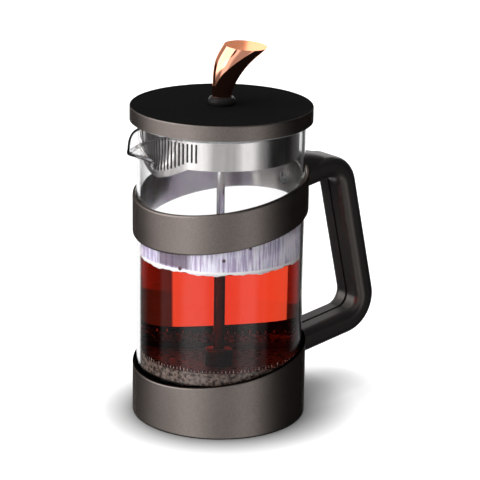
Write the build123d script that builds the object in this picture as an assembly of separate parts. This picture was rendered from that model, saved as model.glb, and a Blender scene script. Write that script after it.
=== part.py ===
from build123d import *
import math
import os

# French press for about one litre, standing on its base.
# Millimetres, +Z up.  The origin is on the beaker's axis, on the surface the press stands on.
# +X points at the handle and -X at the spout.  The plunger is modelled pushed fully down.

# ---- driving dimensions ----
BAND_RADIUS = 50.0          # outside of the base cup and of the holding band
BAND_WALL = 2.0
GLASS_GAP = 0.3             # between the glass and what holds it
GLASS_RADIUS = BAND_RADIUS - BAND_WALL - GLASS_GAP
GLASS_WALL = 2.0
RIM_HEIGHT = 171.8          # top of the glass rim
LID_TOP = 181.8
TILT = 10.0                 # slope of the base rim and of the band, rising towards the handle
OUTER_ROUND = 1.1           # rounding of the rims' outer and inner edges
INNER_ROUND = 0.5

# ---- base ----
FOOT_PROUD = 0.2            # how far the foot pad stands below the cup
CUP_FLOOR = 3.0
BASE_RIM_MID = 37.1         # height of the sloping rim on the axis
FOOT_RADIUS = 46.0
FOOT_RECESS = 1.2
CUSHION_RADIUS = 34.0
CUSHION_THICK = 1.4
CUP_FLOOR_TOP = FOOT_PROUD + CUP_FLOOR
CUSHION_TOP = CUP_FLOOR_TOP + CUSHION_THICK

# ---- holding band ----
BAND_LOW_MID = 114.6
BAND_HIGH_MID = 137.3

# ---- beaker ----
GLASS_BOTTOM = CUSHION_TOP + 0.1
GLASS_FLOOR = 2.8
GLASS_CORNER = 8.0
SPOUT_TIP_X = -64.3
SPOUT_TIP_Z = 162.0
SPOUT_BEND_X = -50.0        # outwards from here the rim curves down to the tip
SPOUT_CENTRE_Z = 173.0
# x, half width and depth below SPOUT_CENTRE_Z of the spout's upright oval sections
SPOUT_SECTIONS = (
    (-42.0, 17.0, 23.0),
    (-49.3, 12.8, 18.0),
    (-55.9, 9.4, 14.7),
    (-59.0, 7.4, 13.4),
    (-62.4, 4.4, 12.0),
    (SPOUT_TIP_X, 2.0, 11.2),
)

# ---- handle ----
HANDLE_HALF_WIDTH = 12.0
HANDLE_EDGE = 5.0           # rounding of its long edges
ARM_RISE = 10.0             # upper arm's slope in degrees
LOWER_RISE = 8.5            # lower arm's slope
GRIP_LEAN = 13.0            # the grip leans out towards the bottom
HANDLE_WALL = 2.6
SEAM_WIDTH = 1.8
SEAM_DEPTH = 1.2
BOSS_END = 67.0             # the arm ends are solid up to here
# x, centre height, half width and half height of the crowned root on the upper arm
ROOT_SECTIONS = ((44.0, 134.0, 11.4, 12.2), (61.0, 134.5, 11.3, 11.2), (78.0, 134.5, 10.4, 6.2))
SCREW_HEIGHTS = (132.2, 30.6)

# ---- lid ----
LID_RADIUS = 51.6
LID_SIDE = 8.6
LID_WALL = 1.2
LID_BOTTOM = LID_TOP - LID_SIDE
LINER_BOTTOM = 174.4
LINER_PLATE = 2.2
SLEEVE_RADIUS = 44.0
SLEEVE_WALL = 0.6
SLEEVE_BOTTOM = 154.6
TONGUE_BOTTOM = 146.5
TONGUE_ANGLE = 28.0         # half of the angle that the tongue spans
SLOT_COUNT = 22
SLOT_PITCH = 3.3            # degrees
SLOT_WIDTH = 1.2
SLOT_TOP = 169.0
SLOT_MARGIN = 3.9           # metal left between a slot and the edge below it
GAUZE_THICK = 0.25          # the fine strainer cloth spot-welded behind the slots
GAUZE_ANGLE = 38.5
GAUZE_TOP = 171.0
SEAL_INNER = 44.6
SEAL_LIP = 45.4
SEAL_OUTER = 48.8
COLLAR_TOP = 186.4
SHANK_RADIUS = 5.6
SHANK_BOTTOM = 170.5
GUIDE_RADIUS = 4.0

# ---- plunger ----
ROD_RADIUS = 2.35
STUD_RADIUS = 2.0
RUNNING_FIT = 0.06
KNOB_BOTTOM = 186.5
KNOB_LEAN_AZIMUTH = -38.3
KNOB_TOP_TILT = (6.5, 4.0)    # the cut end's slope across and along the lean, in degrees
# height, left edge, right edge and half depth of the knob's sections
KNOB_SECTIONS = (
    (186.5, -5.3, 5.3, 5.3),
    (192.0, -5.35, 6.9, 5.8),
    (198.0, -5.1, 10.0, 6.8),
    (204.0, -4.4, 14.2, 7.9),
    (209.5, -2.5, 19.3, 8.6),
    (215.2, 0.9, 25.1, 8.9),
)
FILTER_BOTTOM = 30.0
FILTER_RADIUS = 45.35
SHEET = 0.3                 # thickness of the mesh disc
SKIRT_TOP = 37.8
SPRING_RADIUS = 3.7
SPRING_MID = 41.25
SPRING_WALL = 0.2
PLATE = 0.8                 # thickness of the pressed steel plates
SPIRAL_RADIUS = 37.3
SPIRAL_RIM_TOP = 34.9
HUB_RADIUS = 6.0
HUB_TOP = 41.5
CROSS_RADIUS = 42.0
NUT_ACROSS = 9.0
NUT_HEIGHT = 4.0

MIN = Align.MIN
MID = Align.CENTER
ON_Z = (MID, MID, MIN)


def rod_z(radius, low, high):
    """A cylinder on the Z axis from low to high."""
    return Pos(0, 0, low) * Cylinder(radius, high - low, align=ON_Z)


def ring_z(inner, outer, low, high):
    return rod_z(outer, low, high) - rod_z(inner, low - 1, high + 1)


def hexagon_z(across, low, high):
    side = RegularPolygon(across / 2, 6, major_radius=False)
    return extrude(Pos(0, 0, low) * side, high - low)


def space_above(mid_height):
    """Everything above a plane that rises towards the handle."""
    return Pos(0, 0, mid_height) * Rot(0, -TILT, 0) * Box(200, 200, 100, align=ON_Z)


def space_below(mid_height):
    block = Box(200, 200, 100, align=(MID, MID, Align.MAX))
    return Pos(0, 0, mid_height) * Rot(0, -TILT, 0) * block


def revolved(points):
    """A solid of revolution about Z from (radius, height) points."""
    outline = Plane.XZ * Polygon(*points, align=None)
    return revolve(outline, Axis.Z)


def write(name, shape):
    export_step(shape, os.path.join("parts", name + ".step"))


# ---- frame: base, band and handle ----

def screw_hole(height):
    """Clearance for a countersunk handle screw that points along +X from the inside."""
    wall_inside = BAND_RADIUS - BAND_WALL
    shank = Pos(wall_inside - 2, 0, height) * Rot(0, 90, 0) * Cylinder(2.05, 24, align=ON_Z)
    sink = Pos(wall_inside - 0.4, 0, height) * Rot(0, 90, 0) * Cone(4.05, 2.05, 2.0, align=ON_Z)
    return shank + sink


def rounded_rims(ring):
    """Round the sloping rims, more on the outside than on the inside."""
    rims = ring.edges().filter_by(GeomType.ELLIPSE)
    ring = fillet(rims.filter_by(lambda e: e.bounding_box().size.Y > 2 * BAND_RADIUS - 1), OUTER_ROUND)
    rims = ring.edges().filter_by(GeomType.ELLIPSE)
    return fillet(rims.filter_by(lambda e: e.bounding_box().size.Y < 2 * (BAND_RADIUS - BAND_WALL) + 0.1),
                  INNER_ROUND)


def base_cup():
    cup = rod_z(BAND_RADIUS, FOOT_PROUD, 60)
    cup -= rod_z(BAND_RADIUS - BAND_WALL, CUP_FLOOR_TOP, 61)
    cup -= space_above(BASE_RIM_MID)
    cup = rounded_rims(cup)
    bottom = cup.edges().filter_by(GeomType.CIRCLE).sort_by(Axis.Z)[0]
    cup = fillet(bottom, 0.8)
    cup -= rod_z(FOOT_RADIUS, FOOT_PROUD - 1, FOOT_PROUD + FOOT_RECESS)
    return cup - screw_hole(SCREW_HEIGHTS[1])


def foot_pad():
    pad = rod_z(FOOT_RADIUS, 0, FOOT_PROUD + FOOT_RECESS)
    return fillet(pad.edges().sort_by(Axis.Z)[0], 0.4)


def glass_cushion():
    return rod_z(CUSHION_RADIUS, CUP_FLOOR_TOP, CUSHION_TOP)


def holding_band():
    band = ring_z(BAND_RADIUS - BAND_WALL, BAND_RADIUS, 100, 160)
    band -= space_above(BAND_HIGH_MID)
    band -= space_below(BAND_LOW_MID)
    band = rounded_rims(band)
    return band - screw_hole(SCREW_HEIGHTS[0])


def line_crossing(a, b):
    """Where two lines cross; each is (normal angle in degrees, distance from the origin)."""
    ax, az = math.cos(math.radians(a[0])), math.sin(math.radians(a[0]))
    bx, bz = math.cos(math.radians(b[0])), math.sin(math.radians(b[0]))
    det = ax * bz - az * bx
    return ((a[1] * bz - b[1] * az) / det, (ax * b[1] - bx * a[1]) / det)


def handle_outline(top, grip, bottom, top_radius, bottom_radius, root_x):
    """A rounded two-cornered outline in the XZ plane, closed by an upright line at root_x."""
    upright = (180.0, -root_x)
    corners = [line_crossing(upright, top), line_crossing(top, grip),
               line_crossing(grip, bottom), line_crossing(bottom, upright)]
    face = Polygon(*corners, align=None)
    high = face.vertices().sort_by(Axis.X)[-2:].sort_by(Axis.Y)[1]
    face = fillet(high, top_radius)
    low = face.vertices().filter_by(lambda v: v.X > 80).sort_by(Axis.Y)[0]
    return fillet(low, bottom_radius)


def handle_profile():
    """The C-shaped side view of the handle, before it meets the band and the base."""
    outside = handle_outline((90 + ARM_RISE, 127.1), (GRIP_LEAN, 119.1), (LOWER_RISE - 90, -15.8),
                             20.0, 22.0, 40.0)
    inside = handle_outline((90 + ARM_RISE, 114.3), (GRIP_LEAN, 106.2), (LOWER_RISE - 90, -29.6),
                            7.2, 8.0, 30.0)
    return outside, inside


def handle_root():
    """The crown that carries the upper arm's top up to the band's rim."""
    ovals = []
    for x, height, half_width, half_height in ROOT_SECTIONS:
        place = Plane(origin=(x, 0, height), x_dir=(0, 1, 0), z_dir=(1, 0, 0))
        ovals.append(place * Ellipse(half_width, half_height))
    middle = sum(section[1] for section in ROOT_SECTIONS) / len(ROOT_SECTIONS)
    return loft(ovals) - Pos(60, 0, middle - 1) * Box(60, 60, 40, align=(MID, MID, Align.MAX))


def handle_body():
    outside, inside = handle_profile()
    width = HANDLE_HALF_WIDTH
    body = extrude(Plane.XZ * outside, width, both=True) - extrude(Plane.XZ * inside, width + 1, both=True)
    long_edges = [e for e in body.edges()
                  if abs(abs(e.center().Y) - width) < 0.01 and e.center().X > 41]
    body = fillet(long_edges, HANDLE_EDGE) + handle_root()
    seam = offset(inside, SEAM_DEPTH)
    body -= extrude(Plane.XZ * seam, SEAM_WIDTH / 2, both=True)
    hollow = extrude(Plane.XZ * offset(outside, -HANDLE_WALL), width - HANDLE_WALL, both=True)
    hollow -= extrude(Plane.XZ * offset(inside, HANDLE_WALL), width, both=True)
    hollow -= Pos(BOSS_END, 0, 80) * Box(100, 60, 200, align=(Align.MAX, MID, MID))
    body -= hollow
    body -= rod_z(BAND_RADIUS, 0, 170)
    for height in SCREW_HEIGHTS:
        body -= screw_hole(height)
        body -= anchor_nut(height, 0.05)
    return body


def handle_half(side):
    keep = Pos(0, side * 20, 80) * Box(300, 40, 300)
    return handle_body() & keep


def handle_screw(height):
    head_face = BAND_RADIUS - BAND_WALL
    head = Pos(head_face, 0, height) * Rot(0, 90, 0) * Cone(3.6, STUD_RADIUS, 1.6, align=ON_Z)
    shank = Pos(head_face + 1.6, 0, height) * Rot(0, 90, 0) * Cylinder(STUD_RADIUS, 14.4, align=ON_Z)
    slot = Pos(head_face, 0, height) * Box(1.4, 5.2, 1.0)
    return head + shank - slot


def anchor_nut(height, spare):
    size = 7.0 + 2 * spare
    nut = Pos(60, 0, height) * Box(4 + 2 * spare, size, size)
    bore = Pos(50, 0, height) * Rot(0, 90, 0) * Cylinder(STUD_RADIUS, 20, align=ON_Z)
    return nut - bore


# ---- beaker ----

def beaker_wall(radius, bottom, corner, top):
    """A round-cornered solid cup shape, filled; the glass is the difference of two."""
    blank = rod_z(radius, bottom, top)
    return fillet(blank.edges().sort_by(Axis.Z)[0], corner)


def spout_volume(inset):
    """The tapering beak, lofted from the oval inside the wall to the small one at the tip."""
    ovals = []
    for x, half_width, depth in SPOUT_SECTIONS:
        place = Plane(origin=(x + inset * 0.7, 0, SPOUT_CENTRE_Z), x_dir=(0, 1, 0), z_dir=(-1, 0, 0))
        ovals.append(place * Ellipse(max(half_width - inset, 0.8), depth - inset))
    return loft(ovals)


def space_over_rim():
    """What lies above the rim: level over the beaker, curving down over the spout to its tip."""
    reach = SPOUT_BEND_X - SPOUT_TIP_X
    fall = RIM_HEIGHT - SPOUT_TIP_Z
    radius = (reach ** 2 + fall ** 2) / (2 * fall)
    half = reach / 2
    half_fall = radius - math.sqrt(radius ** 2 - half ** 2)
    bend = (SPOUT_BEND_X, RIM_HEIGHT)
    tip = (SPOUT_TIP_X, SPOUT_TIP_Z)
    arc = ThreePointArc(bend, (SPOUT_BEND_X - half, RIM_HEIGHT - half_fall), tip)
    beyond = SPOUT_TIP_X - 10
    sides = Polyline(tip, (beyond, SPOUT_TIP_Z), (beyond, 220), (80, 220), (80, RIM_HEIGHT), bend)
    return extrude(Plane.XZ * make_face(arc + sides), 60, both=True)


def beaker():
    outer = beaker_wall(GLASS_RADIUS, GLASS_BOTTOM, GLASS_CORNER, RIM_HEIGHT + 5)
    inner = beaker_wall(GLASS_RADIUS - GLASS_WALL, GLASS_BOTTOM + GLASS_FLOOR,
                        GLASS_CORNER - GLASS_WALL, RIM_HEIGHT + 20)
    outer += spout_volume(0)
    inner += spout_volume(GLASS_WALL * 0.8)
    return outer - inner - space_over_rim()


# ---- lid ----

def lid_seal():
    return revolved([(SEAL_LIP, 170.4), (SEAL_LIP, RIM_HEIGHT + 0.1), (SEAL_OUTER, RIM_HEIGHT + 0.1),
                     (SEAL_OUTER, LINER_BOTTOM - 0.1), (SEAL_INNER, LINER_BOTTOM - 0.1),
                     (SEAL_INNER, 170.4)])


def lid_cover():
    cover = rod_z(LID_RADIUS, LID_BOTTOM, LID_TOP)
    cover = fillet(cover.edges().sort_by(Axis.Z)[-1], 0.9)
    cover -= rod_z(LID_RADIUS - LID_WALL, LID_BOTTOM - 1, LID_TOP - LID_WALL)
    return cover - rod_z(SHANK_RADIUS, LID_BOTTOM, LID_TOP + 1)


def lid_liner():
    inside = LID_RADIUS - LID_WALL
    plate_top = LINER_BOTTOM + LINER_PLATE
    liner = rod_z(inside, LINER_BOTTOM, plate_top)
    liner += ring_z(inside - 2, inside, plate_top, LID_TOP - LID_WALL)
    liner += rod_z(12, plate_top, LID_TOP - LID_WALL)
    return liner - rod_z(SHANK_RADIUS, LINER_BOTTOM - 1, LID_TOP)


def tongue_edge(angle):
    """Height of the sleeve's lower edge at an angle from the spout."""
    share = min(abs(angle) / TONGUE_ANGLE, 1.0)
    return TONGUE_BOTTOM + (SLEEVE_BOTTOM - TONGUE_BOTTOM) * share ** 1.5


def tongue_outline(margin, half_angle, top):
    """The tongue seen from the spout: its curved lower edge, raised by margin, up to a level top."""
    steps = [half_angle * i / 10 for i in range(-10, 11)]
    edge = [(SLEEVE_RADIUS * math.sin(math.radians(a)), tongue_edge(a) + margin) for a in steps]
    half = edge[-1][0]
    return Plane.YZ * Polygon(*edge, (half, top), (-half, top), align=None)


def lid_sleeve():
    top = LINER_BOTTOM
    inner = SLEEVE_RADIUS - SLEEVE_WALL
    sleeve = rod_z(SLEEVE_RADIUS, TONGUE_BOTTOM - 1, top)
    sleeve -= rod_z(inner, TONGUE_BOTTOM - 2, top - SLEEVE_WALL)
    sleeve -= rod_z(SHANK_RADIUS, top - 2, top + 1)
    waste = rod_z(SLEEVE_RADIUS + 1, TONGUE_BOTTOM - 3, SLEEVE_BOTTOM)
    waste -= extrude(tongue_outline(0, TONGUE_ANGLE, SLEEVE_BOTTOM + 1), -SLEEVE_RADIUS - 2)
    sleeve -= waste
    for i in range(SLOT_COUNT):
        angle = (i - (SLOT_COUNT - 1) / 2) * SLOT_PITCH
        low = tongue_edge(angle) + SLOT_MARGIN
        cutter = Pos(-SLEEVE_RADIUS, 0, (low + SLOT_TOP) / 2) * Box(6, SLOT_WIDTH, SLOT_TOP - low)
        sleeve -= Rot(0, 0, angle) * cutter
    return sleeve


def strainer_gauze():
    outer = SLEEVE_RADIUS - SLEEVE_WALL
    strip = ring_z(outer - GAUZE_THICK, outer, TONGUE_BOTTOM, GAUZE_TOP)
    return strip & extrude(tongue_outline(2.2, GAUZE_ANGLE, GAUZE_TOP), -SLEEVE_RADIUS - 2)


def hub_collar():
    dome = [(GUIDE_RADIUS + RUNNING_FIT, LID_TOP), (7.2, LID_TOP), (7.7, 182.6), (7.8, 183.7),
            (7.5, 184.8), (6.8, 185.7), (5.8, COLLAR_TOP), (GUIDE_RADIUS + RUNNING_FIT, COLLAR_TOP)]
    shank = ring_z(GUIDE_RADIUS + RUNNING_FIT, SHANK_RADIUS, SHANK_BOTTOM, LID_TOP)
    return revolved(dome) + shank


def hub_washer():
    return ring_z(SHANK_RADIUS, 10.0, LINER_BOTTOM - SLEEVE_WALL - 0.8, LINER_BOTTOM - SLEEVE_WALL)


def hub_nut():
    top = LINER_BOTTOM - SLEEVE_WALL - 0.8
    return hexagon_z(15.0, SHANK_BOTTOM + 0.1, top) - rod_z(SHANK_RADIUS, SHANK_BOTTOM, top + 1)


def rod_guide():
    bush = rod_z(GUIDE_RADIUS, SHANK_BOTTOM - 1, COLLAR_TOP - 0.3)
    bush += rod_z(5.0, SHANK_BOTTOM - 1.2, SHANK_BOTTOM - 0.1)
    return bush - rod_z(ROD_RADIUS + RUNNING_FIT, SHANK_BOTTOM - 3, COLLAR_TOP + 1)


# ---- plunger ----

def knob():
    lean = Rot(0, 0, KNOB_LEAN_AZIMUTH)
    sections = []
    for height, left, right, half_depth in KNOB_SECTIONS:
        share = (height - KNOB_BOTTOM) / (KNOB_SECTIONS[-1][0] - KNOB_BOTTOM)
        slope = Rot(KNOB_TOP_TILT[0] * share ** 2, KNOB_TOP_TILT[1] * share ** 2, 0)
        middle = Pos((left + right) / 2, 0, height)
        sections.append(lean * middle * slope * Ellipse((right - left) / 2, half_depth))
    body = loft(sections)
    return body - rod_z(STUD_RADIUS + 0.05, KNOB_BOTTOM - 1, KNOB_BOTTOM + 10.5)


def rod():
    shaft = rod_z(ROD_RADIUS, FILTER_BOTTOM + 1.2, KNOB_BOTTOM)
    shaft += rod_z(STUD_RADIUS, KNOB_BOTTOM, KNOB_BOTTOM + 10)
    return shaft + rod_z(STUD_RADIUS, FILTER_BOTTOM - PLATE - NUT_HEIGHT, FILTER_BOTTOM + 1.2)


def rod_hub():
    hub = rod_z(HUB_RADIUS, FILTER_BOTTOM + 1.2, HUB_TOP)
    hub = fillet(hub.edges().sort_by(Axis.Z)[-1], 1.6)
    return hub - rod_z(ROD_RADIUS, FILTER_BOTTOM, HUB_TOP + 1)


def spiral_plate():
    low = FILTER_BOTTOM + 0.4
    plate = rod_z(SPIRAL_RADIUS, low, low + PLATE)
    plate += ring_z(SPIRAL_RADIUS - PLATE * 0.75, SPIRAL_RADIUS, low, SPIRAL_RIM_TOP)
    plate -= rod_z(STUD_RADIUS + 0.1, low - 1, low + 2)
    for row in range(5):
        radius = 11.5 + 5.2 * row
        count = 12 + 6 * row
        holes = PolarLocations(radius, count, start_angle=7 * row)
        plate -= [place * Pos(0, 0, low - 1) * Cylinder(1.3, 3, align=ON_Z) for place in holes]
    return plate


def filter_spring():
    outer = Torus(SPRING_MID, SPRING_RADIUS)
    inner = Torus(SPRING_MID, SPRING_RADIUS - SPRING_WALL)
    return Pos(0, 0, FILTER_BOTTOM + 1.2 + SPRING_RADIUS) * (outer - inner)


def filter_mesh():
    disc = rod_z(FILTER_RADIUS, FILTER_BOTTOM + 0.05, FILTER_BOTTOM + 0.05 + SHEET)
    disc += ring_z(FILTER_RADIUS - SHEET, FILTER_RADIUS, FILTER_BOTTOM + 0.05, SKIRT_TOP)
    return disc - rod_z(STUD_RADIUS + 0.1, FILTER_BOTTOM - 1, FILTER_BOTTOM + 2)


def cross_plate():
    plate = rod_z(CROSS_RADIUS, FILTER_BOTTOM - PLATE, FILTER_BOTTOM)
    plate -= rod_z(STUD_RADIUS + 0.1, FILTER_BOTTOM - 2, FILTER_BOTTOM + 1)
    for radius, hole, start in ((22.0, 8.5, 0.0), (35.5, 4.0, 30.0)):
        places = PolarLocations(radius, 6, start_angle=start)
        plate -= [place * Pos(0, 0, FILTER_BOTTOM - 2) * Cylinder(hole, 3, align=ON_Z) for place in places]
    return plate


def filter_nut():
    top = FILTER_BOTTOM - PLATE
    nut = hexagon_z(NUT_ACROSS, top - NUT_HEIGHT, top)
    return nut - rod_z(STUD_RADIUS, top - NUT_HEIGHT - 1, top + 1)


PARTS = {
    "base_cup": base_cup,
    "foot_pad": foot_pad,
    "glass_cushion": glass_cushion,
    "holding_band": holding_band,
    "handle_left_half": lambda: handle_half(1),
    "handle_right_half": lambda: handle_half(-1),
    "handle_screws": lambda: Compound([handle_screw(h) for h in SCREW_HEIGHTS]),
    "anchor_nuts": lambda: Compound([anchor_nut(h, 0) for h in SCREW_HEIGHTS]),
    "beaker": beaker,
    "lid_seal": lid_seal,
    "lid_cover": lid_cover,
    "lid_liner": lid_liner,
    "lid_sleeve": lid_sleeve,
    "strainer_gauze": strainer_gauze,
    "hub_collar": hub_collar,
    "hub_washer": hub_washer,
    "hub_nut": hub_nut,
    "rod_guide": rod_guide,
    "knob": knob,
    "rod": rod,
    "rod_hub": rod_hub,
    "spiral_plate": spiral_plate,
    "filter_spring": filter_spring,
    "filter_mesh": filter_mesh,
    "cross_plate": cross_plate,
    "filter_nut": filter_nut,
}

os.makedirs("parts", exist_ok=True)
for part_name, make in PARTS.items():
    write(part_name, make())
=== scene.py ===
import math

import bmesh
import bpy
import numpy as np
from mathutils import Matrix, Vector


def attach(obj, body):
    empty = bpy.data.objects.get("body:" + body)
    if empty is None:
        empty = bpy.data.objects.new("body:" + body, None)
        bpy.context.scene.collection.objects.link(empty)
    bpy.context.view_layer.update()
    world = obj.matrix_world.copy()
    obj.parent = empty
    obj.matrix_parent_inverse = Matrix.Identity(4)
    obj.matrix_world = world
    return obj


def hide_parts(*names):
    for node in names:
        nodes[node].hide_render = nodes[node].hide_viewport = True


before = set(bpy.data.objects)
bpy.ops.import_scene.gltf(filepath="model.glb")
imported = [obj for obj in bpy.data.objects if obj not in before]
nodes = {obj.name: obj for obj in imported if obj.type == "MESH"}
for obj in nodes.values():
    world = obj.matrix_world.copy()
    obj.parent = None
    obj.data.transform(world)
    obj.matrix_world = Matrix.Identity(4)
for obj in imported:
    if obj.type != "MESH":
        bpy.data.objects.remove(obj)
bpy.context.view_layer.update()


# ---- camera ----
# A long lens a little over a metre away, looking down on the lid with the handle to the right.
camera_data = bpy.data.cameras.new("camera")
camera_data.lens = 157.8
camera_data.sensor_width = 36.0
camera_data.dof.use_dof = False
camera = bpy.data.objects.new("camera", camera_data)
bpy.context.scene.collection.objects.link(camera)
look_right = Vector((0.785, -0.6195, 0.0)).normalized()
look_back = Vector((-0.5916, -0.7497, 0.2967)).normalized()
look_up = look_back.cross(look_right)
turn = Matrix((look_right, look_up, look_back)).transposed()
roll = Matrix.Rotation(math.radians(0.831), 3, "Z")
camera.matrix_world = Matrix.Translation((-0.7010, -0.9066, 0.4582)) @ (turn @ roll).to_4x4()
bpy.context.scene.camera = camera
bpy.context.scene.view_settings.view_transform = "Standard"


# ---- studio ----
# A white wall behind, soft boxes left and right of the camera and a tall strip at the far left.
# The walls at the sides stay dark, which is what gives the round parts their dark edges.
# The floor is white paper with a painted contact shadow, darker where the object stands close over it.


class Shade:
    """A value in a node tree. Arithmetic adds Math nodes, and node() adds any other node."""

    def __init__(self, tree, socket=None):
        self.tree = tree
        self.socket = socket

    def node(self, kind, settings=None, inputs=None, output=0):
        made = self.tree.nodes.new("ShaderNode" + kind)
        for key, value in (settings or {}).items():
            setattr(made, key, value)
        for key, value in (inputs or {}).items():
            if isinstance(value, Shade):
                self.tree.links.new(value.socket, made.inputs[key])
            else:
                made.inputs[key].default_value = value
        return Shade(self.tree, made.outputs[output])

    def math(self, operation, *values):
        return self.node("Math", {"operation": operation}, dict(enumerate(values)))

    def window(self, low, high, soft):
        """1 between low and high, falling to 0 over a distance of soft outside them."""
        rise = {"Value": self, "From Min": low - soft, "From Max": low, "To Min": 0.0, "To Max": 1.0}
        fall = {"Value": self, "From Min": high, "From Max": high + soft, "To Min": 1.0, "To Max": 0.0}
        smooth = {"interpolation_type": "SMOOTHSTEP"}
        return self.node("MapRange", smooth, rise) * self.node("MapRange", smooth, fall)

    def __add__(self, other):
        return self.math("ADD", self, other)

    def __radd__(self, other):
        return self.math("ADD", other, self)

    def __sub__(self, other):
        return self.math("SUBTRACT", self, other)

    def __rsub__(self, other):
        return self.math("SUBTRACT", other, self)

    def __mul__(self, other):
        return self.math("MULTIPLY", self, other)

    def __rmul__(self, other):
        return self.math("MULTIPLY", other, self)

    def __truediv__(self, other):
        return self.math("DIVIDE", self, other)

    def __rtruediv__(self, other):
        return self.math("DIVIDE", other, self)


world = bpy.data.worlds.new("studio")
world.use_nodes = True
bpy.context.scene.world = world
background = world.node_tree.nodes["Background"]
background.inputs["Color"].default_value = (1, 1, 1, 1)
sky = Shade(world.node_tree)
ray = sky.node("TexCoord", output="Generated")
behind = Vector((0.6195, 0.785, 0.0))


def along(axis):
    """How far the ray points along a direction of the room."""
    return sky.node("VectorMath", {"operation": "DOT_PRODUCT"}, {0: ray, 1: axis}, "Value")


to_right, to_back, to_top = along(look_right), along(behind), along((0.0, 0.0, 1.0))
degree = 180 / math.pi
rear_angle = to_right.math("ARCTAN2", to_right, to_back) * degree
front_angle = to_right.math("ARCTAN2", to_right, 0.0 - to_back) * degree
height_angle = to_top.math("ARCSINE", to_top) * degree
# The edges of walls and lights are in degrees, seen from the object.
level = height_angle.window(-70.0, 2.0, 6.0)
raised = height_angle.window(6.0, 62.0, 10.0)
back_wall = rear_angle.window(-34.0, 17.5, 1.5) * height_angle.window(-70.0, 6.0, 8.0)
panel_edge = 2.91
back_panel = rear_angle.window(-34.0, panel_edge, 0.02) * 0.6
back_panel = back_panel + rear_angle.window(panel_edge, 30.0, 0.02) * 2.6
side_wall = rear_angle.window(-45.0, 45.0, 20.0)
left_box = front_angle.window(-46.0, -24.0, 14.0)
right_box = front_angle.window(34.0, 48.0, 12.0)
front_wall = front_angle.window(-84.0, 66.0, 8.0) + front_angle.window(-38.0, 42.0, 16.0)
front_top = raised * front_angle.window(-22.0, 10.0, 4.0)
left_top = raised * front_angle.window(-150.0, -84.0, 4.0)
strip_light = front_angle.window(-100.0, -40.0, 4.0) * height_angle.window(-8.0, 60.0, 6.0)
glow = 0.004 + back_wall * 0.98 + back_panel * height_angle.window(18.0, 34.0, 3.0)
glow = glow + level * (side_wall * 0.08 + left_box * 0.85 + right_box * 0.7 + front_wall * 0.26)
glow = glow + strip_light * 2.8 + front_top * 0.7 + left_top * 0.45
is_camera = sky.node("LightPath", output="Is Camera Ray")
white_backdrop = is_camera * 1.2
world.node_tree.links.new((glow + white_backdrop).socket, background.inputs["Strength"])

floor_mesh = bpy.data.meshes.new("floor")
FLOOR_REACH = 4.0
corners = [(x * FLOOR_REACH, y * FLOOR_REACH, 0) for x, y in ((-1, -1), (1, -1), (1, 1), (-1, 1))]
floor_mesh.from_pydata(corners, [], [(0, 1, 2, 3)])
floor = bpy.data.objects.new("floor", floor_mesh)
bpy.context.scene.collection.objects.link(floor)
paper = bpy.data.materials.new("white_paper")
paper.use_nodes = True
paper_shader = paper.node_tree.nodes["Principled BSDF"]
paper_shader.inputs["Roughness"].default_value = 0.9
paper_shader.inputs["Specular IOR Level"].default_value = 0.0
sheet = Shade(paper.node_tree)
# Painted contact shadow: the paper's colour darkens where the object occludes it.
openness = sheet.node("AmbientOcclusion", {"samples": 16}, {"Distance": 0.034}, "AO")
paper_with_painted_shadow = sheet.math("POWER", openness, 2.2) * 0.9
paper.node_tree.links.new(paper_with_painted_shadow.socket, paper_shader.inputs["Base Color"])
floor_mesh.materials.append(paper)
floor.visible_glossy = floor.visible_transmission = floor.visible_diffuse = floor.visible_shadow = False

sun = bpy.data.lights.new("top_light", "SUN")
sun.energy = 4.3
sun.angle = math.radians(100.0)
top_light = bpy.data.objects.new("top_light", sun)
bpy.context.scene.collection.objects.link(top_light)
top_light.rotation_euler = (-behind * 0.28 - Vector((0, 0, 1))).to_track_quat("-Z", "Y").to_euler()
top_light.visible_camera = top_light.visible_glossy = top_light.visible_transmission = False


# ---- base cup ----
# Deep-drawn steel cup with a sloping rim, coated with a charcoal satin metallic paint whose fine
# flakes glitter; its inside is painted much darker, as painted shade.  The glass stands in it and
# the handle is screwed to its wall.
CUP_INSIDE = 0.0498


def new_material(name, **numbers):
    """A material with these numbers or colours on its own shader; returns it and its Shade."""
    made = bpy.data.materials.new(name)
    made.use_nodes = True
    shader = made.node_tree.nodes["Principled BSDF"]
    for socket, value in numbers.items():
        shader.inputs[socket.replace("_", " ")].default_value = value
    return made, Shade(made.node_tree)


def feed(made, socket, value):
    """Lets a Shade drive one socket of the material's Principled shader."""
    made.node_tree.links.new(value.socket, made.node_tree.nodes["Principled BSDF"].inputs[socket])


def mix_colours(shade, share, first, second):
    """The first colour where share is 0 and the second where it is 1."""
    return shade.node("Mix", {"data_type": "RGBA"}, {0: share, 6: first, 7: second}, 2)


def grain(shade, scale, detail=2.0, stretch=(1.0, 1.0, 1.0)):
    """Fractal noise in the part's own coordinates; scale is in features per metre."""
    place = shade.node("TexCoord", output="Object")
    place = shade.node("Mapping", inputs={"Vector": place, "Scale": stretch})
    return shade.node("TexNoise", inputs={"Vector": place, "Scale": scale, "Detail": detail})


def bumped(made, shade, height, strength, distance):
    """Raises the surface by height, a Shade from 0 to 1, times distance in metres."""
    bump = shade.node("Bump", inputs={"Height": height, "Strength": strength, "Distance": distance})
    feed(made, "Normal", bump)


def dress(material, slot_name, *names):
    """Gives CAD nodes their material."""
    for name in names:
        nodes[name].data.materials.clear()
        nodes[name].data.materials.append(material)


def coordinates(shade):
    """The X, Y and Z of a point in the part's own frame."""
    place = shade.node("TexCoord", output="Object")
    split = shade.node("SeparateXYZ", inputs={"Vector": place}).socket.node.outputs
    return Shade(shade.tree, split["X"]), Shade(shade.tree, split["Y"]), Shade(shade.tree, split["Z"])


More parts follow.
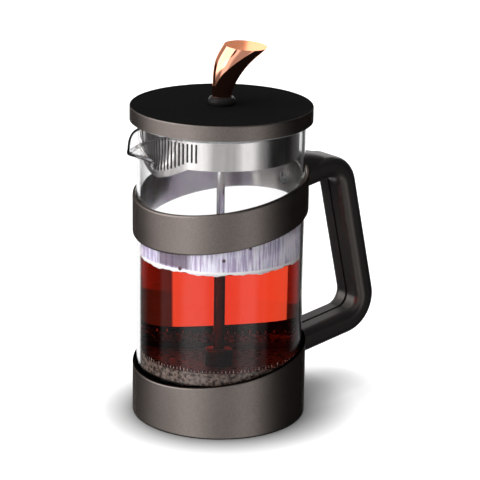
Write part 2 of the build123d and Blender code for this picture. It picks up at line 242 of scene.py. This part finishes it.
def closer_than(shade, limit):
    """1 where a point is closer to the press's axis than the limit, else 0."""
    x, y, _ = coordinates(shade)
    return shade.math("LESS_THAN", shade.math("SQRT", x * x + y * y), limit)


def metal_flakes(shade):
    """The paint's flakes, its broad clouding, and both together."""
    place = shade.node("TexCoord", output="Object")
    colours = shade.node("TexVoronoi", inputs={"Vector": place, "Scale": 2600.0}, output="Color")
    flake = shade.node("SeparateColor", inputs={"Color": colours})
    cloud = grain(shade, 30.0, 3.0)
    return flake, cloud, flake * 0.5 + cloud * 0.5


CHARCOAL_DARK = (0.150, 0.128, 0.116, 1)
CHARCOAL_LIGHT = (0.250, 0.215, 0.198, 1)
charcoal, shade = new_material("charcoal_satin", Metallic=1.0, Specular_Tint=(0.1, 0.1, 0.1, 1))
flake, cloud, glitter = metal_flakes(shade)
tone = mix_colours(shade, glitter, CHARCOAL_DARK, CHARCOAL_LIGHT)
# Painted shade: the inner wall gets a much darker colour than the outside.
painted_shade_inside = closer_than(shade, CUP_INSIDE)
feed(charcoal, "Base Color", mix_colours(shade, painted_shade_inside, tone, (0.018, 0.014, 0.013, 1)))
feed(charcoal, "Roughness", 0.36 + cloud * 0.08)
bumped(charcoal, shade, flake, 0.35, 0.00005)
dress(charcoal, "charcoal_satin", "base_cup")


# ---- foot pad and glass cushion ----
# Thin die-cut discs of dark silicone: one glued into the shallow recess under the cup, and one laid
# on its floor for the glass to stand on.
rubber, shade = new_material("dark_silicone", Roughness=0.62, Specular_IOR_Level=0.35)
dust = grain(shade, 420.0, 4.0)
feed(rubber, "Base Color", mix_colours(shade, dust, (0.012, 0.012, 0.013, 1), (0.030, 0.030, 0.031, 1)))
bumped(rubber, shade, dust, 0.3, 0.0001)
dress(rubber, "silicone_dark", "foot_pad", "glass_cushion")


# ---- holding band ----
# Steel strip rolled and welded to a ring, its edges sloping like the cup's rim.  It is coated
# outside like the cup and left as bare steel on the inside, next to the glass, where its broad
# upright streaks and extra brightness are painted reflections.
BAND_INSIDE = 0.0484
band_paint, shade = new_material("band_steel_and_coat", Metallic=1.0, Specular_Tint=(0.1, 0.1, 0.1, 1))
inside = closer_than(shade, BAND_INSIDE)
flake, cloud, glitter = metal_flakes(shade)
# Painted reflections: broad upright streaks and a brighter colour on the bare inside.
streak = grain(shade, 60.0, 3.0, (1.0, 1.0, 0.05))
coat = mix_colours(shade, glitter, CHARCOAL_DARK, CHARCOAL_LIGHT)
bare_with_painted_reflections = mix_colours(shade, streak, (0.70, 0.68, 0.64, 1), (0.98, 0.96, 0.90, 1))
feed(band_paint, "Base Color", mix_colours(shade, inside, coat, bare_with_painted_reflections))
feed(band_paint, "Roughness", 0.36 + cloud * 0.08 - inside * 0.22)
bumped(band_paint, shade, flake * (1.0 - inside) + streak * inside, 0.35, 0.00005)
dress(band_paint, "charcoal_satin", "holding_band")


# ---- handle ----
# Two injection-moulded halves of black nylon, welded along the middle; the weld lies in a groove
# on the finger side.  The skin is a fine spark-eroded matte texture.
nylon, shade = new_material("handle_black", Specular_IOR_Level=0.75, Specular_Tint=(1.0, 0.9, 0.82, 1))
skin = grain(shade, 2600.0, 2.0)
wear = grain(shade, 24.0, 2.0)
feed(nylon, "Base Color", mix_colours(shade, wear, (0.0085, 0.0082, 0.0082, 1), (0.016, 0.015, 0.015, 1)))
feed(nylon, "Roughness", 0.32 + wear * 0.08)
bumped(nylon, shade, skin, 0.25, 0.00006)
dress(nylon, "handle_black", "handle_left_half", "handle_right_half")


# ---- handle screws and nuts ----
# Countersunk stainless screws put in from inside the cup and the band, into square brass nuts
# trapped in the ends of the handle's arms.
screw_steel, shade = new_material("screw_steel", Metallic=1.0)
turned = grain(shade, 300.0, 3.0, (12.0, 1.0, 1.0))
feed(screw_steel, "Base Color", mix_colours(shade, turned, (0.42, 0.41, 0.40, 1), (0.58, 0.57, 0.55, 1)))
feed(screw_steel, "Roughness", 0.22 + turned * 0.15)
dress(screw_steel, "screw_steel", "handle_screws")
brass, shade = new_material("nut_brass", Metallic=1.0)
tarnish = grain(shade, 260.0, 3.0)
feed(brass, "Base Color", mix_colours(shade, tarnish, (0.60, 0.42, 0.16, 1), (0.78, 0.60, 0.28, 1)))
feed(brass, "Roughness", 0.28 + tarnish * 0.2)
dress(brass, "nut_brass", "anchor_nuts")


# ---- beaker ----
# Blown borosilicate glass: a straight cup with a round corner at the bottom, a fire-polished rim
# and a pinched beak.  Inner and outer skin are one closed surface, as thick as the real wall.
GLASS_OUTSIDE = 0.0477
GLASS_INSIDE = 0.0457
GLASS_BOTTOM = 0.0047
GLASS_FLOOR = 0.0075
CORNER_OUTSIDE = 0.008
CORNER_INSIDE = 0.006
RIM = 0.1718
BEAK_TIP = (0.0643, 0.1620)
BEAK_BEND = 0.0500
BEAK_CENTRE = 0.1730
# distance from the axis, half width and depth of the beak's oval sections
BEAK_SECTIONS = ((0.0420, 0.0170, 0.0230), (0.0493, 0.0128, 0.0180), (0.0559, 0.0094, 0.0147),
                 (0.0590, 0.0074, 0.0134), (0.0624, 0.0044, 0.0120), (0.0643, 0.0020, 0.0112))


def rim_height(reach):
    """Height of the rim: level, then curving down over the beak to its tip."""
    out = BEAK_TIP[0] - BEAK_BEND
    fall = RIM - BEAK_TIP[1]
    bend = (out ** 2 + fall ** 2) / (2 * fall)
    past = np.clip(reach - BEAK_BEND, 0, out)
    return RIM - bend + np.sqrt(bend ** 2 - past ** 2)


def beak_radius(angle, height, inset):
    """Distance from the axis to the beak's wall, at an angle from its middle and a height."""
    stations, widths, depths = np.array(BEAK_SECTIONS).T
    tries = np.linspace(0.038, BEAK_TIP[0] - inset * 0.7, 400)
    x = tries * math.cos(angle)
    wide = np.polyval(np.polyfit(stations, widths, 4), x + inset * 0.7) - inset
    deep = np.polyval(np.polyfit(stations, depths, 4), x + inset * 0.7) - inset
    level = np.clip(1 - ((BEAK_CENTRE - height) / deep) ** 2, 0, 1)
    within = np.maximum(wide, 0.0006) * np.sqrt(level) - tries * math.sin(angle)
    clear = np.nonzero((within >= 0) & (level > 0))[0]
    return tries[clear[-1]] if len(clear) else tries[0]


def wall_radius(angle, height, straight, inset):
    """The cup's wall and the beak's, run together with a soft fillet."""
    beak = beak_radius(angle, height, inset) if angle < 0.5 else 0.038
    blend = 0.0012
    return (straight + beak + math.sqrt((straight - beak) ** 2 + blend ** 2)) / 2


def wall_top(angle, straight, inset):
    """Height at which the wall meets the rim line."""
    top = RIM
    for _ in range(12):
        top = float(rim_height(wall_radius(angle, top, straight, inset) * math.cos(angle)))
    return top


def round_corner(radius, bottom, bend_radius):
    """Points of the quarter bend between a flat bottom and an upright wall, going up."""
    points = []
    for step in range(9):
        bend = math.radians(90 * step / 8)
        points.append((radius - bend_radius + bend_radius * math.sin(bend),
                       bottom + bend_radius - bend_radius * math.cos(bend)))
    return points


def glass_column(angle):
    """Radius and height of one upright section, from the bottom outside over the rim to the inside."""
    column = [(0.0, GLASS_BOTTOM)]
    column += round_corner(GLASS_OUTSIDE, GLASS_BOTTOM, CORNER_OUTSIDE)
    outer_top = wall_top(angle, GLASS_OUTSIDE, 0.0)
    inner_top = wall_top(angle, GLASS_INSIDE, 0.0016)
    outer_foot = GLASS_BOTTOM + CORNER_OUTSIDE
    inner_foot = GLASS_FLOOR + CORNER_INSIDE
    inner = []
    for step in range(1, 41):
        share = 1 - (1 - step / 40) ** 1.7
        height = outer_foot + (outer_top - 0.0009 - outer_foot) * share
        column.append((wall_radius(angle, height, GLASS_OUTSIDE, 0.0), height))
        height = inner_foot + (inner_top - 0.0009 - inner_foot) * share
        inner.append((wall_radius(angle, height, GLASS_INSIDE, 0.0016), height))
    first, last = Vector(column[-1]), Vector(inner[-1])
    across_rim = last - first
    lift = Vector((0, 1)) * across_rim.length / 2
    for step in range(1, 8):
        bend = math.pi * step / 8
        column.append(tuple(first + across_rim * (1 - math.cos(bend)) / 2 + lift * math.sin(bend)))
    column += reversed(inner)
    column += reversed(round_corner(GLASS_INSIDE, GLASS_FLOOR, CORNER_INSIDE))
    column.append((0.0, GLASS_FLOOR))
    return column


def skin_of_columns(name, angles, columns):
    """A closed mesh from upright sections around the axis; their first and last points are poles."""
    mesh = bmesh.new()
    bottom = mesh.verts.new((0, 0, columns[0][0][1]))
    top = mesh.verts.new((0, 0, columns[0][-1][1]))
    grid = []
    for angle, column in zip(angles, columns):
        x, y = math.cos(angle), math.sin(angle)
        grid.append([mesh.verts.new((r * x, r * y, z)) for r, z in column[1:-1]])
    for here, there in zip(grid, grid[1:] + grid[:1]):
        mesh.faces.new((bottom, there[0], here[0]))
        mesh.faces.new((top, here[-1], there[-1]))
        for low in range(len(here) - 1):
            mesh.faces.new((here[low], there[low], there[low + 1], here[low + 1]))
    bmesh.ops.recalc_face_normals(mesh, faces=mesh.faces)
    data = bpy.data.meshes.new(name)
    mesh.to_mesh(data)
    mesh.free()
    for face in data.polygons:
        face.use_smooth = True
    made = bpy.data.objects.new(name, data)
    bpy.context.scene.collection.objects.link(made)
    return made


# The columns stand closest at the beak, which is at the -X side.
HALF_COLUMNS = 120
spacing = [math.pi * (step / HALF_COLUMNS) ** 1.7 for step in range(HALF_COLUMNS + 1)]
offsets = [-s for s in reversed(spacing[1:-1])] + spacing
columns = {}
for offset in spacing:
    columns[offset] = glass_column(offset)
beaker = skin_of_columns("glass_beaker", [math.pi + o for o in offsets], [columns[abs(o)] for o in offsets])
glass, shade = new_material("clear_glass", Base_Color=(1, 1, 1, 1), Transmission_Weight=1.0, IOR=1.47,
                            Specular_Tint=(0.4, 0.4, 0.4, 1))
smear = grain(shade, 18.0, 3.0)
feed(glass, "Roughness", smear * 0.012)
beaker.data.materials.append(glass)
beaker.visible_shadow = False
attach(beaker, "beaker")
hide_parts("beaker")


# ---- brew ----
# The tea or coffee the press is shown with: a clear, deep red-brown drink.  It is only for show,
# and stays in the beaker when the plunger is pulled up.
BREW_LEVEL = 0.0955
MENISCUS = 0.0008
BREW_GAP = 0.00008
BREW_SIDES = 192
brew_radius = GLASS_INSIDE - BREW_GAP
column = [(0.0, GLASS_FLOOR + BREW_GAP)]
column += round_corner(brew_radius, GLASS_FLOOR + BREW_GAP, CORNER_INSIDE)
for height in (0.03, 0.05, 0.07, 0.09, BREW_LEVEL, BREW_LEVEL + 0.0006, BREW_LEVEL + MENISCUS):
    column.append((brew_radius, height))
for step in range(1, 9):
    column.append((brew_radius - 0.0004 * step, BREW_LEVEL + MENISCUS * math.exp(-step / 2.0)))
column.append((0.0, BREW_LEVEL))
angles = [2 * math.pi * i / BREW_SIDES for i in range(BREW_SIDES)]
brew = skin_of_columns("brew_for_show", angles, [column] * BREW_SIDES)
drink, shade = new_material("red_brown_drink", Base_Color=(1, 1, 1, 1), Transmission_Weight=1.0, IOR=1.34,
                            Specular_Tint=(0.06, 0.06, 0.06, 1))
feed(drink, "Roughness", grain(shade, 20.0) * 0.01)
absorb = shade.node("VolumeAbsorption", inputs={"Color": (0.95, 0.30, 0.06, 1), "Density": 50.0})
drink.node_tree.links.new(absorb.socket, drink.node_tree.nodes["Material Output"].inputs["Volume"])
brew.data.materials.append(drink)
brew.visible_shadow = False
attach(brew, "beaker")


# ---- foam ----
# Froth on the brew: a pale raft of fine bubbles that clings to the glass in a ragged ring and
# thins towards the middle.  Also only for show.
FOAM_TOP = 0.1170
RAFT_THICK = 0.0045


def foam_foot(angle):
    """The ragged lower edge against the glass."""
    return BREW_LEVEL + 0.0004 * math.sin(9 * angle + 1) + 0.0003 * math.sin(23 * angle) \
        + 0.0002 * math.sin(57 * angle + 2)


def foam_climb(angle):
    """How high the froth clings to the glass, from 0 to 1: high on the pouring side's right."""
    away = math.cos(angle - math.radians(-105))
    return min(max((away + 0.15) / 0.4, 0.0), 1.0) ** 0.7


columns = []
for angle in angles:
    foot = foam_foot(angle)
    out = brew_radius
    raft_top = BREW_LEVEL + RAFT_THICK
    lip = raft_top + (FOAM_TOP - raft_top) * foam_climb(angle)
    lip += 0.0006 * math.sin(7 * angle) + 0.0004 * math.sin(31 * angle + 1)
    middle = (foot + lip) / 2
    underside = [(0.0, foot + 0.0012), (0.040, foot + 0.0010), (0.0440, foot + 0.0004), (out - 0.0003, foot)]
    at_glass = [(out, foot + 0.0004), (out, middle), (out, lip - 0.0004)]
    over_lip = [(out - 0.0004, lip), (out - 0.0012, lip - 0.0010), (out - 0.0014, middle)]
    raft = [(out - 0.0022, foot + 0.0038), (0.0410, foot + 0.0030), (0.0, foot + 0.0026)]
    columns.append(underside + at_glass + over_lip + raft)
foam = skin_of_columns("foam_for_show", angles, columns)
froth, shade = new_material("pale_froth", Roughness=0.45, Subsurface_Weight=0.3, Subsurface_Scale=0.002)
place = shade.node("TexCoord", output="Object")
cells = shade.node("TexVoronoi", inputs={"Vector": place, "Scale": 900.0}, output="Distance")
bubbles = shade.node("TexVoronoi", inputs={"Vector": place, "Scale": 110.0}, output="Distance")
hole = bubbles.window(-1.0, 0.10, 0.05)
veil = grain(shade, 60.0, 3.0)
runs = grain(shade, 900.0, 2.0, (1.0, 1.0, 0.06))
px, py, height = coordinates(shade)
round_angle = shade.math("ARCTAN2", py, px) * degree
thin = round_angle.window(-172.0, -152.0, 6.0) * height.window(0.0990, 0.1080, 0.0020)
streaks = (veil * 0.5 + runs * 0.5).window(0.56, 2.0, 0.16)
tone = mix_colours(shade, streaks, (0.40, 0.33, 0.52, 1), (0.84, 0.82, 0.93, 1))
tone = mix_colours(shade, thin * 0.85, tone, (0.07, 0.03, 0.07, 1))
tone = mix_colours(shade, height.window(0.0, 0.0972, 0.0008), tone, (0.95, 0.94, 0.97, 1))
feed(froth, "Base Color", mix_colours(shade, hole, tone, (0.06, 0.02, 0.03, 1)))
bumped(froth, shade, cells, 0.5, 0.0003)
foam.data.materials.append(froth)
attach(foam, "beaker")


# ---- lid seal ----
# Translucent silicone ring clipped over the glass rim; the lid turns on it.
seal, shade = new_material("seal_clear", Transmission_Weight=0.6, IOR=1.41)
haze = grain(shade, 300.0, 3.0)
feed(seal, "Base Color", mix_colours(shade, haze, (0.72, 0.73, 0.74, 1), (0.86, 0.87, 0.88, 1)))
feed(seal, "Roughness", 0.3 + haze * 0.2)
dress(seal, "seal_clear", "lid_seal")


# ---- lid cover ----
# Pressed steel cap: charcoal metallic on its side like the band; its top is painted a deeper matte black, as
# painted shade.
LID_TOP_STARTS = 0.18165
cap, shade = new_material("lid_charcoal", Specular_Tint=(0.1, 0.1, 0.1, 1), Specular_IOR_Level=0.0)
height = coordinates(shade)[2]
top_face = height.window(LID_TOP_STARTS, 1.0, 0.00025)
flake, cloud, glitter = metal_flakes(shade)
side_tone = mix_colours(shade, glitter, CHARCOAL_DARK, CHARCOAL_LIGHT)
# Painted shade: the top face gets a near-black matte colour in place of the side's charcoal.
top_painted_shade = mix_colours(shade, glitter, (0.0030, 0.0030, 0.0030, 1), (0.0065, 0.0065, 0.0065, 1))
feed(cap, "Base Color", mix_colours(shade, top_face, side_tone, top_painted_shade))
feed(cap, "Metallic", 1.0 - top_face)
feed(cap, "Roughness", 0.36 + cloud * 0.08 + top_face * 0.25)
bumped(cap, shade, flake, 0.35, 0.00005)
dress(cap, "charcoal_satin", "lid_cover")


# ---- lid liner ----
# Black moulded inner lid that fills the cap and takes the seal.
liner, shade = new_material("liner_black", Roughness=0.5)
speck = grain(shade, 900.0, 2.0)
feed(liner, "Base Color", mix_colours(shade, speck, (0.012, 0.012, 0.012, 1), (0.022, 0.022, 0.022, 1)))
bumped(liner, shade, speck, 0.2, 0.0001)
dress(liner, "liner_black", "lid_liner")


# ---- lid sleeve ----
# Thin drawn stainless skirt under the lid with a slotted strainer tongue behind the beak,
# polished upright outside so that it shows soft vertical streaks, and dull inside.
SLEEVE_INSIDE = 0.0438
polished, shade = new_material("polished_steel", Metallic=1.0)
dull = closer_than(shade, SLEEVE_INSIDE)
streak = grain(shade, 40.0, 4.0, (6.0, 6.0, 0.3))
bright = mix_colours(shade, streak, (0.56, 0.54, 0.53, 1), (0.78, 0.75, 0.74, 1))
feed(polished, "Base Color", mix_colours(shade, dull, bright, (0.10, 0.095, 0.09, 1)))
feed(polished, "Roughness", 0.16 + streak * 0.12 + dull * 0.3)
dress(polished, "polished_steel", "lid_sleeve")


# ---- strainer gauze ----
# Strip of fine woven cloth spot-welded behind the sleeve's slots; it catches leaves while pouring.
fine_cloth, shade = new_material("strainer_gauze", Metallic=0.8)
weave = grain(shade, 1500.0, 2.0)
feed(fine_cloth, "Base Color", mix_colours(shade, weave, (0.006, 0.006, 0.006, 1), (0.05, 0.048, 0.046, 1)))
feed(fine_cloth, "Roughness", 0.5 + weave * 0.2)
bumped(fine_cloth, shade, weave, 0.5, 0.0001)
dress(fine_cloth, "steel_mesh", "strainer_gauze")


# ---- hub washer and nut ----
# Plain stainless washer and hexagon nut under the sleeve, with a turned finish.
turned_steel, shade = new_material("turned_steel", Metallic=1.0)
rings = grain(shade, 350.0, 3.0)
feed(turned_steel, "Base Color", mix_colours(shade, rings, (0.46, 0.45, 0.44, 1), (0.64, 0.62, 0.60, 1)))
feed(turned_steel, "Roughness", 0.16 + rings * 0.16)
dress(turned_steel, "polished_steel", "hub_washer", "hub_nut")


# ---- hub collar ----
# Turned and gloss-lacquered black collar on the lid; its shank passes through lid and sleeve and
# is held by the washer and nut below.
gloss, shade = new_material("collar_gloss", Coat_Weight=0.03, Coat_Roughness=0.06,
                            Specular_IOR_Level=0.05)
ripple = grain(shade, 200.0, 2.0)
feed(gloss, "Base Color", mix_colours(shade, ripple, (0.010, 0.009, 0.009, 1), (0.018, 0.016, 0.016, 1)))
feed(gloss, "Roughness", 0.14 + ripple * 0.06)
dress(gloss, "collar_gloss", "hub_collar")


# ---- rod guide ----
# Nylon bush that turns in the collar and that the rod slides through.
bush, shade = new_material("guide_nylon", Roughness=0.45)
speck = grain(shade, 700.0, 2.0)
feed(bush, "Base Color", mix_colours(shade, speck, (0.035, 0.034, 0.033, 1), (0.055, 0.054, 0.052, 1)))
dress(bush, "guide_nylon", "rod_guide")


# ---- knob ----
# Die-cast zinc horn with a bright copper plating, screwed on the rod's upper thread.
copper, shade = new_material("copper_polish", Metallic=1.0, Specular_Tint=(1.0, 0.62, 0.45, 1))
tint = grain(shade, 35.0, 3.0)
feed(copper, "Base Color", mix_colours(shade, tint, (0.84, 0.35, 0.22, 1), (0.90, 0.42, 0.28, 1)))
feed(copper, "Roughness", 0.035 + tint * 0.02)
dress(copper, "copper_polish", "knob")


# ---- rod and boss ----
# Drawn stainless rod, polished along its length and threaded at both ends, with the boss over the
# filter.  Below the drink's level both are painted dark brown, as painted shade.
DRINK_SHADE_TOP = 0.0950
rod_steel, shade = new_material("rod_steel", Metallic=1.0)
height = coordinates(shade)[2]
# Painted shade: below the drink's level the rod and boss are coloured dark brown.
painted_shade_below_drink = height.window(0.0, DRINK_SHADE_TOP, 0.004)
streak = grain(shade, 900.0, 3.0, (1.0, 1.0, 0.02))
clean = mix_colours(shade, streak, (0.86, 0.86, 0.85, 1), (0.97, 0.97, 0.96, 1))
feed(rod_steel, "Base Color", mix_colours(shade, painted_shade_below_drink, clean, (0.050, 0.030, 0.025, 1)))
feed(rod_steel, "Roughness", 0.12 + streak * 0.1 + painted_shade_below_drink * 0.15)
dress(rod_steel, "polished_steel", "rod", "rod_hub")


# ---- filter plates and nut ----
# Pressed and perforated stainless dish that holds the spring's ring down on the mesh, the cross
# plate and the nut below it, all stained dark by the drink.
pressed, shade = new_material("pressed_steel", Metallic=0.4, Specular_IOR_Level=0.1)
stain = grain(shade, 120.0, 4.0)
feed(pressed, "Base Color", mix_colours(shade, stain, (0.012, 0.007, 0.007, 1), (0.040, 0.024, 0.022, 1)))
feed(pressed, "Roughness", 0.45 + stain * 0.2)
dress(pressed, "pressed_steel", "spiral_plate", "cross_plate", "filter_nut")


# ---- filter spring ----
# A long close coil of fine stainless wire bent round into a ring; it presses the mesh's skirt
# against the glass.
RING_RADIUS = 0.04125
COIL_RADIUS = 0.0037
COIL_TURNS = 63
WIRE_RADIUS = 0.00028
COIL_HEIGHT = 0.0349
POINTS_PER_TURN = 20


class Graph:
    """A Geometry Nodes tree. Here node() adds a node, and math() an arithmetic one."""

    def __init__(self, name, floats):
        self.tree = bpy.data.node_groups.new(name, "GeometryNodeTree")
        self.tree.interface.new_socket("Geometry", in_out="INPUT", socket_type="NodeSocketGeometry")
        self.numbers = {}
        for label, value in floats.items():
            kind = "NodeSocketInt" if isinstance(value, int) else "NodeSocketFloat"
            socket = self.tree.interface.new_socket(label, in_out="INPUT", socket_type=kind)
            self.numbers[label] = (socket.identifier, value)
        socket = self.tree.interface.new_socket("Material", in_out="INPUT", socket_type="NodeSocketMaterial")
        self.material_input = socket.identifier
        self.tree.interface.new_socket("Geometry", in_out="OUTPUT", socket_type="NodeSocketGeometry")
        self.inputs = self.tree.nodes.new("NodeGroupInput").outputs
        self.output = self.tree.nodes.new("NodeGroupOutput")

    def node(self, kind, settings=None, inputs=None, output=0):
        made = self.tree.nodes.new(kind)
        for key, value in (settings or {}).items():
            setattr(made, key, value)
        for key, value in (inputs or {}).items():
            if isinstance(value, bpy.types.NodeSocket):
                self.tree.links.new(value, made.inputs[key])
            else:
                made.inputs[key].default_value = value
        return made.outputs[output]

    def math(self, operation, *values):
        return self.node("ShaderNodeMath", {"operation": operation}, dict(enumerate(values)))

    def finish(self, geometry):
        """Ends the tree with Realize Instances and Set Material."""
        real = self.node("GeometryNodeRealizeInstances", inputs={0: geometry})
        material = self.inputs["Material"]
        dressed = self.node("GeometryNodeSetMaterial", inputs={0: real, "Material": material})
        self.tree.links.new(dressed, self.output.inputs[0])

    def make(self, name, material):
        """Runs the tree and returns its result as a plain mesh object."""
        blank = bpy.data.objects.new(name + "_blank", bpy.data.meshes.new(name + "_blank"))
        bpy.context.scene.collection.objects.link(blank)
        modifier = blank.modifiers.new(name, "NODES")
        modifier.node_group = self.tree
        for identifier, value in self.numbers.values():
            modifier[identifier] = value
        modifier[self.material_input] = material
        evaluated = blank.evaluated_get(bpy.context.evaluated_depsgraph_get())
        data = bpy.data.meshes.new_from_object(evaluated)
        data.name = name
        bpy.data.objects.remove(blank)
        made = bpy.data.objects.new(name, data)
        bpy.context.scene.collection.objects.link(made)
        for face in data.polygons:
            face.use_smooth = True
        return made


wire, shade = new_material("spring_wire", Metallic=1.0)
drawn = grain(shade, 800.0, 2.0)
feed(wire, "Base Color", mix_colours(shade, drawn, (0.06, 0.04, 0.035, 1), (0.16, 0.12, 0.10, 1)))
feed(wire, "Roughness", 0.18 + drawn * 0.12)
coil = Graph("ring_coil", {"Ring radius": RING_RADIUS, "Coil radius": COIL_RADIUS, "Turns": COIL_TURNS,
                           "Wire radius": WIRE_RADIUS, "Height": COIL_HEIGHT})
points = coil.math("MULTIPLY", coil.inputs["Turns"], POINTS_PER_TURN)
line = coil.node("GeometryNodeMeshCircle", inputs={"Vertices": points, "Radius": 1.0})
turn_share = coil.math("DIVIDE", coil.node("GeometryNodeInputIndex"), points)
along_ring = coil.math("MULTIPLY", turn_share, math.tau)
along_coil = coil.math("MULTIPLY", along_ring, coil.inputs["Turns"])
out = coil.math("ADD", coil.inputs["Ring radius"],
                coil.math("MULTIPLY", coil.math("COSINE", along_coil), coil.inputs["Coil radius"]))
spot = coil.node("ShaderNodeCombineXYZ", inputs={
    "X": coil.math("MULTIPLY", out, coil.math("COSINE", along_ring)),
    "Y": coil.math("MULTIPLY", out, coil.math("SINE", along_ring)),
    "Z": coil.math("ADD", coil.inputs["Height"],
                   coil.math("MULTIPLY", coil.math("SINE", along_coil), coil.inputs["Coil radius"]))})
line = coil.node("GeometryNodeSetPosition", inputs={"Geometry": line, "Position": spot})
line = coil.node("GeometryNodeMeshToCurve", inputs={"Mesh": line})
section = coil.node("GeometryNodeCurvePrimitiveCircle", inputs={"Resolution": 8,
                                                                "Radius": coil.inputs["Wire radius"]})
coil.finish(coil.node("GeometryNodeCurveToMesh", inputs={"Curve": line, "Profile Curve": section}))
spring = coil.make("coil_spring", wire)
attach(spring, "plunger")
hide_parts("filter_spring")


# ---- filter mesh ----
# Fine woven stainless cloth, pressed to a shallow dish whose skirt stands up round the spring.
SKIRT_RADIUS = 0.0453
SKIRT_STARTS = 0.0306
WIRE_PITCH = 0.00042
gauze, shade = new_material("woven_mesh", Metallic=0.7)
px, py, pz = coordinates(shade)
turn_way = shade.math("ARCTAN2", py, px) * SKIRT_RADIUS
on_skirt = pz.window(SKIRT_STARTS, 1.0, 0.0002)


def wires(value):
    """Rounded ridges, one per wire of the cloth."""
    return shade.math("ABSOLUTE", shade.math("SINE", value * (math.pi / WIRE_PITCH)))


def choose(share, first, second):
    """The first value where share is 0 and the second where it is 1."""
    return first * (1.0 - share) + second * share


warp = wires(choose(on_skirt, px, turn_way))
weft = wires(choose(on_skirt, py, pz))
cloth = shade.math("MAXIMUM", warp, weft)
stain = grain(shade, 520.0, 4.0)
patchy = stain.window(0.66, 2.0, 0.34) * on_skirt
wire_tone = mix_colours(shade, patchy, (0.020, 0.012, 0.010, 1), (0.30, 0.225, 0.19, 1))
wire_top = cloth.window(0.55, 2.0, 0.3)
feed(gauze, "Base Color", mix_colours(shade, wire_top, (0.03, 0.02, 0.02, 1), wire_tone))
feed(gauze, "Roughness", 0.5 + stain * 0.2)
feed(gauze, "Alpha", 0.35 + 0.65 * cloth.window(0.62, 2.0, 0.25))
bumped(gauze, shade, cloth, 0.8, 0.0002)
dress(gauze, "steel_mesh", "filter_mesh")


# ---- filter tips ----
# The cut wires of the cloth stand out along the skirt's upper edge as fine bright points: a painted
# glint, far paler than the same wire in the cloth.
TIP_RING = 0.0452
TIP_COUNT = 132
TIP_LENGTH = 0.0021
TIP_HEIGHT = 0.0383
TIP_RADIUS = 0.00028
painted_glint_wire, shade = new_material("cut_wire", Metallic=0.6)
glint = grain(shade, 900.0, 2.0)
# Painted glint: the tips are coloured far lighter than the cloth's own wires.
feed(painted_glint_wire, "Base Color", mix_colours(shade, glint, (0.45, 0.38, 0.34, 1), (0.95, 0.88, 0.82, 1)))
feed(painted_glint_wire, "Roughness", 0.3 + glint * 0.2)
fringe = Graph("wire_fringe", {"Ring radius": TIP_RING, "Tips": TIP_COUNT, "Tip length": TIP_LENGTH,
                               "Height": TIP_HEIGHT})
ring = fringe.node("GeometryNodeMeshCircle", inputs={"Vertices": fringe.inputs["Tips"],
                                                     "Radius": fringe.inputs["Ring radius"]})
raised_ring = fringe.node("ShaderNodeCombineXYZ", inputs={"Z": fringe.inputs["Height"]})
ring = fringe.node("GeometryNodeSetPosition", inputs={"Geometry": ring, "Offset": raised_ring})
tip_size = {"Vertices": 6, "Radius Top": 0.0, "Radius Bottom": TIP_RADIUS}
tip_size["Depth"] = fringe.inputs["Tip length"]
tip = fringe.node("GeometryNodeMeshCone", inputs=tip_size)
uneven = fringe.node("FunctionNodeRandomValue", {"data_type": "FLOAT"}, {2: 0.35, 3: 1.1}, 1)
placed = {"Points": ring, "Instance": tip, "Scale": uneven}
fringe.finish(fringe.node("GeometryNodeInstanceOnPoints", inputs=placed))
mesh_tips = fringe.make("mesh_tips", painted_glint_wire)
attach(mesh_tips, "plunger")
